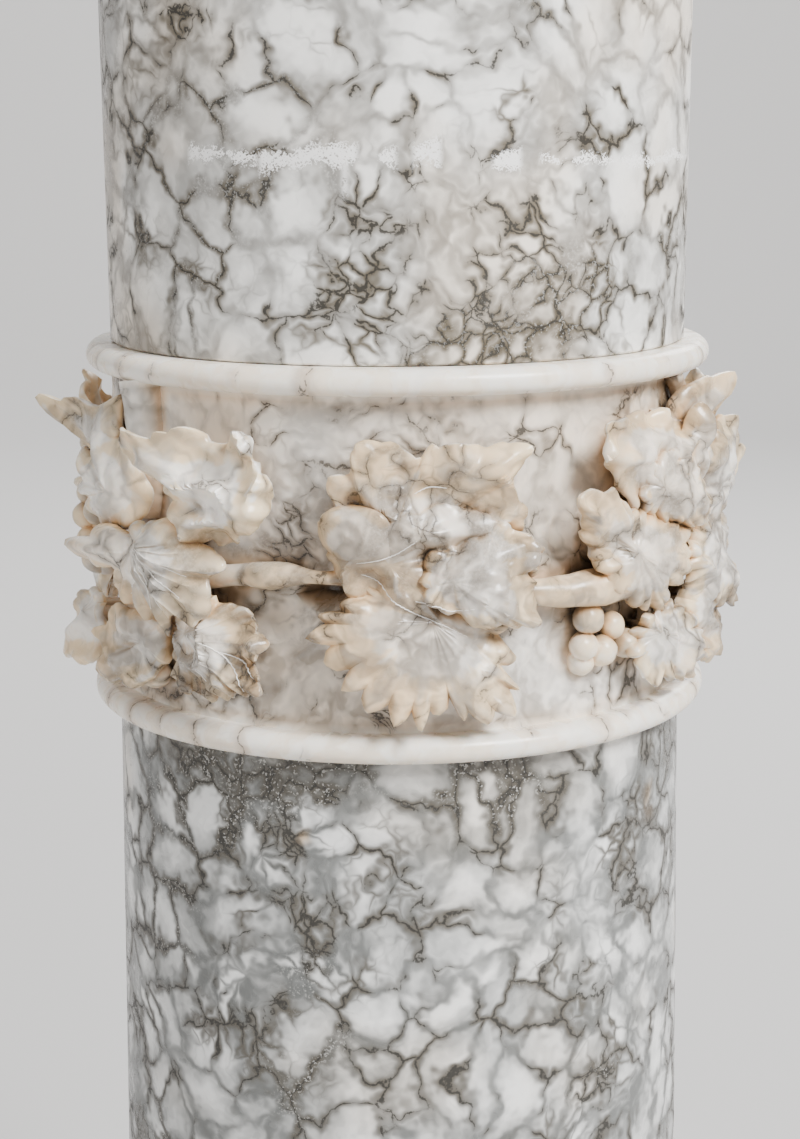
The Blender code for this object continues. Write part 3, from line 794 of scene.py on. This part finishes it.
def hairlines(stone):
    """Thin half-sunk lines on the stone's surface, joined in one object."""
    tree = BVHTree.FromObject(stone, bpy.context.evaluated_depsgraph_get())
    whole = bmesh.new()
    for i, points in enumerate(HAIRLINES):
        path = []
        for angle, share in eased(points, 14):
            start = on_drum(angle, share * BAND, 2 * CARVING_DEPTH)
            centre = Vector((0, 0, start.z))
            hit = tree.ray_cast(start, (centre - start).normalized())
            out = math.hypot(hit[0].x, hit[0].y) - SHAFT_RADIUS
            path.append([angle + 0.12 * math.sin(9.0 * angle + i), share * BAND, out])
        last = len(path) - 1
        for k in range(1, last):
            path[k][2] = (path[k - 1][2] + path[k][2] + path[k + 1][2]) / 3
        radii = []
        for k in range(len(path)):
            share = min(max(k / last, 0.05), 0.95)
            radii.append(HAIRLINE_RADIUS * (0.45 + 0.55 * math.sin(math.pi * share)))
        item = tube("hairline", path, radii, sides=6)
        whole.from_mesh(item.data)
        bpy.data.objects.remove(item)
    item = new_object("pale_hairlines", whole)
    shade_round(item, 60)
    return item


# Materials

class Tree:
    """A material's node tree, with short calls for the nodes that the stone needs."""

    def __init__(self, name):
        self.material = bpy.data.materials.new(name)
        self.material.use_nodes = True
        self.nodes = self.material.node_tree.nodes
        self.links = self.material.node_tree.links
        self.shader = self.nodes["Principled BSDF"]

    def feed(self, socket, value):
        """Links a socket to another, or sets a plain value on it."""
        if isinstance(value, bpy.types.NodeSocket):
            self.links.new(value, socket)
        elif isinstance(value, (tuple, list)) and len(value) == 3 and socket.type == "RGBA":
            socket.default_value = (*value, 1.0)
        else:
            socket.default_value = value

    def node(self, kind, inputs=(), **settings):
        item = self.nodes.new(kind)
        for key, value in settings.items():
            setattr(item, key, value)
        for key, value in dict(inputs).items():
            self.feed(item.inputs[key], value)
        return item

    def place(self):
        return self.node("ShaderNodeTexCoord").outputs["Object"]

    def attribute(self, name):
        return self.node("ShaderNodeAttribute", attribute_name=name).outputs["Fac"]

    def parts(self, vector):
        return self.node("ShaderNodeSeparateXYZ", {0: vector}).outputs

    def channels(self, colour):
        return self.node("ShaderNodeSeparateColor", {"Color": colour}).outputs

    def calc(self, operation, a, b=0.0, c=0.0):
        return self.node("ShaderNodeMath", {0: a, 1: b, 2: c}, operation=operation).outputs[0]

    def times(self, a, b):
        return self.calc("MULTIPLY", a, b)

    def swing(self, value, size):
        """A value of about 0.5 as one that swings round 0, times a size."""
        return self.times(self.calc("SUBTRACT", value, 0.5), size)

    def vector(self, operation, a, b):
        return self.node("ShaderNodeVectorMath", {0: a, 1: b}, operation=operation).outputs[0]

    def scaled(self, vector, factor):
        inputs = {0: vector, "Scale": factor}
        return self.node("ShaderNodeVectorMath", inputs, operation="SCALE").outputs[0]

    def span(self, value, low, high, start=0.0, end=1.0):
        """Eases from start to end as a value goes from low to high."""
        inputs = {"Value": value, "From Min": low, "From Max": high, "To Min": start, "To Max": end}
        return self.node("ShaderNodeMapRange", inputs, interpolation_type="SMOOTHSTEP").outputs[0]

    def mix(self, factor, a, b, blend="MIX"):
        # Among the Mix node's sockets, inputs 6 and 7 and output 2 are the ones for colours
        item = self.node("ShaderNodeMix", data_type="RGBA", blend_type=blend)
        self.feed(item.inputs[0], factor)
        self.feed(item.inputs[6], a)
        self.feed(item.inputs[7], b)
        return item.outputs[2]

    def tint(self, colour, shade):
        return self.mix(1.0, colour, shade, "MULTIPLY")

    def noise(self, place, scale, detail=2.0, rough=0.5):
        inputs = {"Vector": place, "Scale": scale, "Detail": detail, "Roughness": rough}
        return self.node("ShaderNodeTexNoise", inputs)

    def cells(self, place, scale, feature="F1"):
        return self.node("ShaderNodeTexVoronoi", {"Vector": place, "Scale": scale}, feature=feature)

    def seams(self, place, scale):
        """The distance from the seams between cells, in millimetres."""
        distance = self.cells(place, scale, "DISTANCE_TO_EDGE").outputs["Distance"]
        return self.times(distance, 1000 / scale)

    def azimuth(self, whole):
        """The angle round the column from its front, in radians."""
        return self.calc("ARCTAN2", whole[0], self.times(whole[1], -1.0))


# How a stone looks: four colours, large and small nodules in a metre, the strength of warm patches
# and veins, from where veins are open, grit, brightness, and its place and turn in the pattern
Look = namedtuple("Look", "white grey halo line cell small warm veins closed grit bright shift spin")

# Chalky scrapes on the upper shaft: from and to angle, height over the collar's middle, half width
SCRAPES = (
    (-40.5, -25.0, 0.1272, 0.0012),
    (-25.0, -6.5, 0.1268, 0.0028),
    (-9.6, -8.4, 0.1212, 0.0050),
    (-3.4, 0.2, 0.1266, 0.0016),
    (2.8, 8.0, 0.1272, 0.0034),
    (16.8, 22.6, 0.1248, 0.0032),
    (26.0, 78.0, 0.1250, 0.0005),
)
# Rusty stains on the lower shaft: angle, height over the collar's middle, reach
STAINS = ((-18.3, -0.0895, 0.004), (57.8, -0.0876, 0.006), (58.2, -0.0960, 0.005))

# Colours that darken or warm the stone under them, and then those that cover it
BLUSH = (0.96, 0.88, 0.79)
RUST = (0.95, 0.62, 0.30)
# Peach: a faint tone of all the carved stone, and a painted warm glow of light through thin rims
PEACH = (0.95, 0.77, 0.53)
DUSK = (0.58, 0.54, 0.50)
# Painted warm shade for recesses that the carving keeps from the light
HOLLOW_SHADE_TAN = (0.84, 0.65, 0.46)
SPECKS = (0.86, 0.84, 0.79)
CHALK = (0.97, 0.96, 0.94)
# Painted deep shade for the deepest hollows, nearly black, and darker where the stone's veins open
# there
HOLLOW_SHADE_AND_STAIN = (0.07, 0.055, 0.04)
DEEP_CREAM = (1.0, 0.88, 0.72)
PALE_CREAM = (1.0, 0.96, 0.88)
RING_BREATH = (0.46, 0.36, 0.27)


def alabaster(name, look, carved=False, scrapes=(), stains=()):
    """White nodules with greyer rims, and between them soft brownish bands and thin dark seams."""
    t = Tree(name)
    mapping = {"Vector": t.place(), "Location": look.shift, "Rotation": look.spin}
    place = t.node("ShaderNodeMapping", mapping).outputs[0]
    broad = t.vector("SUBTRACT", t.noise(place, 30, 1.0).outputs["Color"], (0.5, 0.5, 0.5))
    fine = t.vector("SUBTRACT", t.noise(place, 170, 1.0, 0.6).outputs["Color"], (0.5, 0.5, 0.5))
    warped = t.vector("ADD", place, t.scaled(broad, 0.030))
    warped = t.vector("ADD", warped, t.scaled(fine, 0.0075))

    # Distances from the seams between nodules. The small nodules lie in some zones only.
    large = t.seams(warped, look.cell)
    small = t.seams(warped, look.small)
    zones = t.channels(t.noise(place, 14, 2.0).outputs["Color"])
    small_far = t.span(zones[0], 0.42, 0.60, 3.5, 0.0)
    province = t.calc("SUBTRACT", zones[2], 0.5)
    edge = t.calc("MINIMUM", large, t.calc("ADD", small, small_far))

    # Each nodule has a soft white core, with its own size and whiteness, in a greyer clouded mass
    body = t.cells(warped, look.cell)
    traits = t.channels(body.outputs["Color"])
    cloud = t.noise(warped, 90, 2.0, 0.55).outputs["Fac"]
    drift = t.swing(cloud, 1.2)
    core_size = t.calc("MULTIPLY_ADD", traits[1], 0.40, 0.36)
    whiteness = t.calc("MULTIPLY_ADD", traits[0], 0.50, 0.38)
    within = t.calc("DIVIDE", body.outputs["Distance"], core_size)
    core = t.times(t.span(within, 0.05, 1.05, 1.0, 0.0), whiteness)
    core = t.times(core, t.span(edge, 0.0, 2.2))
    rim = t.times(t.span(edge, 0.0, 3.6), 0.36)
    level = t.calc("ADD", t.calc("ADD", core, rim), t.calc("ADD", drift, look.bright))
    level = t.calc("MULTIPLY_ADD", province, -0.9, level)
    colour = t.mix(t.span(level, -0.20, 1.15), look.grey, look.white)
    blush = t.times(t.span(zones[1], 0.45, 0.62), look.warm)
    colour = t.mix(blush, colour, t.tint(colour, BLUSH))

    # Brownish band and thin dark line along the seams, where they are open, fainter on leaves
    opened = t.calc("MULTIPLY_ADD", province, 0.45, t.noise(place, 52, 2.0, 0.6).outputs["Fac"])
    strength = t.times(t.span(opened, look.closed, look.closed + 0.18), look.veins)
    if carved:
        proud = t.attribute("proud")
        strength = t.times(strength, t.calc("MULTIPLY_ADD", proud, -0.40, 1.0))
    halo = t.span(edge, 0.0, 3.0, 1.0, 0.0)
    halo = t.times(halo, t.calc("MULTIPLY_ADD", strength, 0.74, 0.04))
    colour = t.mix(halo, colour, look.halo)
    wiggle = t.noise(place, 950, 1.0, 0.8).outputs["Fac"]
    frayed = t.calc("ADD", edge, t.swing(wiggle, 1.4))
    line = t.span(t.calc("SUBTRACT", frayed, t.times(strength, 0.22)), -0.08, 0.28, 1.0, 0.0)
    line = t.times(line, t.span(strength, 0.0, 0.7, 0.03, 0.92))
    colour = t.mix(line, colour, look.line)

    # Gritty matter along some seams: dark grains and white specks
    gritty = t.times(t.span(zones[2], 0.50, 0.62), look.grit)
    gritty = t.times(gritty, t.span(edge, 0.3, 2.2, 1.0, 0.0))
    colour = t.mix(t.times(gritty, t.span(wiggle, 0.50, 0.62, 0.15, 0.85)), colour, look.line)
    colour = t.mix(t.times(gritty, t.span(wiggle, 0.42, 0.36)), colour, SPECKS)

    # Scrapes: they wander up and down, with ragged edges, and are crumbled away in places
    if scrapes:
        whole = t.parts(t.place())
        degrees = t.times(t.azimuth(whole), 180 / math.pi)
        ragged = t.calc("ADD", t.swing(cloud, 0.012), t.swing(wiggle, 0.010))
        wander = t.calc("MULTIPLY_ADD", t.calc("SUBTRACT", opened, 0.5), 0.006, whole[2])
        chalk = 0.0
        for start, end, height, half in scrapes:
            away = t.calc("ABSOLUTE", t.calc("SUBTRACT", wander, COLLAR_MIDDLE + height))
            inside = t.span(t.calc("ADD", away, ragged), half * 0.6, half * 1.1, 1.0, 0.0)
            inside = t.times(inside, t.span(degrees, start - 0.5, start + 1.0))
            inside = t.times(inside, t.span(degrees, end - 1.0, end + 0.5, 1.0, 0.0))
            chalk = t.calc("MAXIMUM", chalk, inside)
        crumbs = t.span(t.calc("ADD", wiggle, t.times(drift, 0.15)), 0.28, 0.42)
        chalk = t.times(chalk, crumbs)
        colour = t.mix(t.times(chalk, 0.95), colour, CHALK)
        line = t.calc("MAXIMUM", line, chalk)
    for angle, height, reach in stains:
        spot = on_drum(angle, height, 0.001)
        away = t.node("ShaderNodeVectorMath", {0: t.place(), 1: spot}, operation="DISTANCE")
        away = t.calc("ADD", away.outputs["Value"], t.swing(cloud, 0.010))
        rust = t.tint(colour, RUST)
        colour = t.mix(t.times(t.span(away, 0.0, reach, 1.0, 0.0), 0.7), colour, rust)

    if carved:
        ring = t.attribute("ring")
        hollow = t.attribute("hollow")
        thin = t.attribute("thin")

        # Leaves: peach towards their thin rims, a painted warm glow of light through the stone,
        # grey-brown in clouds, and painted shade in hollows, tan to dark
        rims = t.times(t.span(t.calc("ADD", thin, drift), 0.05, 0.80), proud)
        colour = t.mix(t.calc("MULTIPLY_ADD", rims, 0.80, 0.18), colour, t.tint(colour, PEACH))
        clouds = t.times(t.span(zones[0], 0.48, 0.62), t.span(cloud, 0.60, 0.42))
        colour = t.mix(t.times(clouds, 0.65), colour, t.tint(colour, DUSK))
        colour = t.mix(t.span(hollow, 0.04, 0.70, 0.0, 0.85), colour, t.tint(colour, HOLLOW_SHADE_TAN))
        # Painted deep shade in the deepest hollows, stronger where the veins open
        hollow_shade_and_stain = t.times(t.span(hollow, 0.45, 1.05), t.span(opened, 0.42, 0.56, 0.35, 1.0))
        colour = t.mix(t.times(hollow_shade_and_stain, 0.80), colour, HOLLOW_SHADE_AND_STAIN)

        # Ring beads: cream, with thin cracks across them and a brown breath beside each
        cream = t.mix(t.span(cloud, 0.35, 0.65), DEEP_CREAM, PALE_CREAM)
        colour = t.mix(t.times(ring, 0.80), colour, cream)
        turn = t.calc("ADD", t.azimuth(t.parts(t.place())), t.swing(cloud, 0.10))
        cracks = t.node("ShaderNodeTexVoronoi", {"W": turn, "Scale": 5.0}, voronoi_dimensions="1D",
                        feature="DISTANCE_TO_EDGE").outputs["Distance"]
        stale = t.span(opened, 0.42, 0.58, 0.0, 0.65)
        breath = t.times(t.span(cracks, 0.0, 0.22, 1.0, 0.0), stale)
        colour = t.mix(t.times(breath, ring), colour, RING_BREATH)
        crack = t.times(t.span(cracks, 0.006, 0.022, 1.0, 0.0), t.span(wiggle, 0.36, 0.50))
        crack = t.times(crack, t.span(opened, 0.44, 0.54))
        colour = t.mix(t.times(crack, t.times(ring, 0.80)), colour, look.line)
        t.shader.inputs["Subsurface Weight"].default_value = 0.22
        t.shader.inputs["Subsurface Radius"].default_value = (1.0, 0.72, 0.48)
        t.shader.inputs["Subsurface Scale"].default_value = 0.004

    t.feed(t.shader.inputs["Base Color"], colour)
    rough = t.span(cloud, 0.35, 0.70, 0.24, 0.36)
    t.feed(t.shader.inputs["Roughness"], t.calc("ADD", rough, t.times(line, 0.25)))
    t.shader.inputs["IOR"].default_value = 1.52
    relief = t.noise(place, 420, 1.0).outputs["Fac"]
    bump = t.node("ShaderNodeBump", {"Height": relief, "Distance": 0.00018, "Strength": 0.3})
    t.feed(t.shader.inputs["Normal"], bump.outputs[0])
    return t.material


def carve_attributes(item):
    """Stores how deep in a hollow, how thin, how proud of the drum and if on a ring each point is. The
    material paints shade from the first and a warm glow from the second.
    """
    mesh = item.data
    tree = BVHTree.FromObject(item, bpy.context.evaluated_depsgraph_get())
    hollow = mesh.attributes.new("hollow", "FLOAT", "POINT")
    thin = mesh.attributes.new("thin", "FLOAT", "POINT")
    proud = mesh.attributes.new("proud", "FLOAT", "POINT")
    ring = mesh.attributes.new("ring", "FLOAT", "POINT")
    up = Vector((0, 0, 1))
    directions = [up]
    level, rise = math.sin(HOLLOW_TILT), math.cos(HOLLOW_TILT)
    for i in range(HOLLOW_RAYS):
        a = math.tau * (i + 0.3) / HOLLOW_RAYS
        directions.append(Vector((level * math.cos(a), level * math.sin(a), rise)))
    fruit = [on_drum(angle, share * BAND, out * GRAPE_RADIUS) for angle, share, out in FRONT_GRAPES]
    for v in mesh.vertices:
        normal = v.normal
        turn = up.rotation_difference(normal)
        start = v.co + normal * SKIN
        covered = 0.0
        for direction in directions:
            hit = tree.ray_cast(start, turn @ direction, HOLLOW_REACH)
            if hit[0] is not None:
                covered += 1 - hit[3] / HOLLOW_REACH
        out = math.hypot(v.co.x, v.co.y) - SHAFT_RADIUS
        # Ground cut deep into the drum counts as a hollow, for painted shade
        cut = smooth(0.002, 0.010, -out)
        hollow.data[v.index].value = max(min(covered / HOLLOW_FULL, 1.0), cut)
        proud.data[v.index].value = smooth(0.001, 0.007, out)

        # Stem and fruit are as warm as a thin rim
        behind = tree.ray_cast(v.co - normal * SKIN, -normal, THIN_REACH)
        thinness = 0.0
        if behind[0] is not None:
            thinness = 1 - behind[3] / THIN_REACH
        angle = math.degrees(math.atan2(v.co.x, -v.co.y))
        from_stem = abs(v.co.z - COLLAR_MIDDLE - stem_height(angle))
        on_stem = from_stem < 2 * STEM_RADIUS and out < 3.4 * STEM_RADIUS
        on_fruit = min((v.co - centre).length for centre in fruit) < 1.12 * GRAPE_RADIUS
        if on_stem or on_fruit:
            thinness = max(thinness, STEM_WARMTH)
        thin.data[v.index].value = thinness
        from_ring = abs(abs(v.co.z - COLLAR_MIDDLE) - RING_SPACING / 2)
        if from_ring < RING_BEAD_RADIUS * 1.05 and out < RING_STEP + RING_BEAD_RADIUS * 1.05:
            ring.data[v.index].value = 1.0


# Pieces

lower_look = Look(
    white=(0.86, 0.86, 0.84), grey=(0.14, 0.145, 0.14), halo=(0.08, 0.068, 0.05),
    line=(0.02, 0.018, 0.014),
    cell=54, small=104, warm=0.7, veins=1.2, closed=0.40, grit=0.35, bright=-0.04,
    shift=(0.31, 0.12, 0.05), spin=(0.4, 0.2, 0.9),
)
upper_look = Look(
    white=(0.96, 0.95, 0.91), grey=(0.28, 0.27, 0.25), halo=(0.10, 0.08, 0.05),
    line=(0.02, 0.017, 0.012),
    cell=48, small=98, warm=1.0, veins=1.2, closed=0.43, grit=0.25, bright=0.14,
    shift=(0.07, 0.41, 0.22), spin=(1.1, 0.3, 0.2),
)
collar_look = Look(
    white=(0.97, 0.95, 0.91), grey=(0.47, 0.46, 0.44), halo=(0.18, 0.145, 0.105),
    line=(0.05, 0.042, 0.032),
    cell=60, small=84, warm=0.8, veins=0.95, closed=0.46, grit=0.20, bright=0.30,
    shift=(0.53, 0.27, 0.31), spin=(0.2, 0.8, 0.5),
)

lower_stone = alabaster("grey_veined_alabaster", lower_look, stains=STAINS)
upper_stone = alabaster("white_veined_alabaster", upper_look, scrapes=SCRAPES)
collar_stone = alabaster("cream_alabaster", collar_look, carved=True)


def pale_mineral():
    t = Tree("pale_mineral")
    shade = t.noise(t.place(), 600, 2.0).outputs["Fac"]
    t.feed(t.shader.inputs["Base Color"], t.mix(shade, (0.88, 0.82, 0.74), (0.96, 0.94, 0.90)))
    t.feed(t.shader.inputs["Roughness"], t.span(shade, 0.3, 0.7, 0.35, 0.50))
    return t.material


collar_piece = collar()
carve_attributes(collar_piece)
lower_piece = shaft("lower_shaft_stone", lower_low.z, lower_high.z, lower_high.x, SHAFT_RADIUS)
upper_piece = shaft("upper_shaft_stone", upper_low.z, upper_high.z, SHAFT_RADIUS, upper_high.x)
for piece, node_name, slot_name, material in (
    (foot(), "foot", "grey_alabaster", lower_stone),
    (lower_piece, "lower_shaft", "grey_alabaster", lower_stone),
    (collar_piece, "vine_collar", "cream_alabaster", collar_stone),
    (upper_piece, "upper_shaft", "white_alabaster", upper_stone),
    (cap(), "cap", "white_alabaster", upper_stone),
):
    piece.data.materials.append(material)
    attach(piece, "root")
    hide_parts(node_name)

veins_piece = hairlines(collar_piece)
veins_piece.data.materials.append(pale_mineral())
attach(veins_piece, "root")


# Floor, light and camera

def floor():
    """A pale floor that curves up into a pale wall all round, with no corner."""
    profile = [(0.0, 0.0), (FLOOR_RADIUS, 0.0)]
    profile += arc(FLOOR_RADIUS, COVE_RADIUS, COVE_RADIUS, -90, 0, 24)[1:]
    profile.append((FLOOR_RADIUS + COVE_RADIUS, COVE_HEIGHT))
    bm = bmesh.new()
    verts = [bm.verts.new((r, 0.0, z)) for r, z in profile]
    edges = [bm.edges.new(pair) for pair in zip(verts, verts[1:])]
    bmesh.ops.spin(bm, geom=verts + edges, axis=(0, 0, 1), angle=math.tau, steps=96, use_merge=True)
    bmesh.ops.remove_doubles(bm, verts=bm.verts, dist=1e-5)
    t = Tree("pale_floor")
    t.feed(t.shader.inputs["Base Color"], (0.60, 0.59, 0.58))
    t.feed(t.shader.inputs["Roughness"], 0.75)
    item = new_object("floor", bm)
    item.data.shade_smooth()
    item.data.materials.append(t.material)


def light(name, place, target, size, power):
    data = bpy.data.lights.new(name, "AREA")
    data.shape = "DISK"
    data.size = size
    data.energy = power
    item = linked(name, data)
    item.location = place
    aim = Vector(target) - Vector(place)
    item.rotation_euler = aim.to_track_quat("-Z", "Y").to_euler()


def world():
    item = bpy.data.worlds.new("studio")
    item.use_nodes = True
    background = item.node_tree.nodes["Background"]
    background.inputs["Color"].default_value = (0.80, 0.80, 0.81, 1.0)
    background.inputs["Strength"].default_value = 0.58
    bpy.context.scene.world = item


def camera():
    data = bpy.data.cameras.new("photo_camera")
    data.sensor_width = SENSOR
    data.lens = FOCAL_PIXELS * SENSOR / PHOTO_HEIGHT
    data.clip_start = 0.01
    item = linked("photo_camera", data)
    place = Vector((0.0, -CAMERA_DISTANCE, COLLAR_MIDDLE + CAMERA_OVER_COLLAR))
    level, drop = math.cos(CAMERA_PITCH), math.sin(CAMERA_PITCH)
    forward = Vector((math.sin(CAMERA_YAW) * level, math.cos(CAMERA_YAW) * level, -drop))
    right = forward.cross(Vector((0, 0, 1))).normalized()
    up = right.cross(forward)
    rolled_right = right * math.cos(CAMERA_ROLL) + up * math.sin(CAMERA_ROLL)
    rolled_up = up * math.cos(CAMERA_ROLL) - right * math.sin(CAMERA_ROLL)
    turn = Matrix((rolled_right, rolled_up, -forward)).transposed()
    item.matrix_world = Matrix.Translation(place) @ turn.to_4x4()
    bpy.context.scene.camera = item


floor()
light("key", place=(1.6, -1.7, 2.5), target=(0, 0, 0.60), size=1.1, power=210)
light("fill", place=(-2.2, -1.9, 1.3), target=(0, 0, 0.5), size=2.2, power=24)
light("back", place=(0.9, 2.4, 2.2), target=(0, 0, 0.6), size=1.8, power=60)
light("wall", place=(0.0, 2.6, 3.6), target=(0, 6.5, 0.9), size=1.6, power=170)
world()
camera()
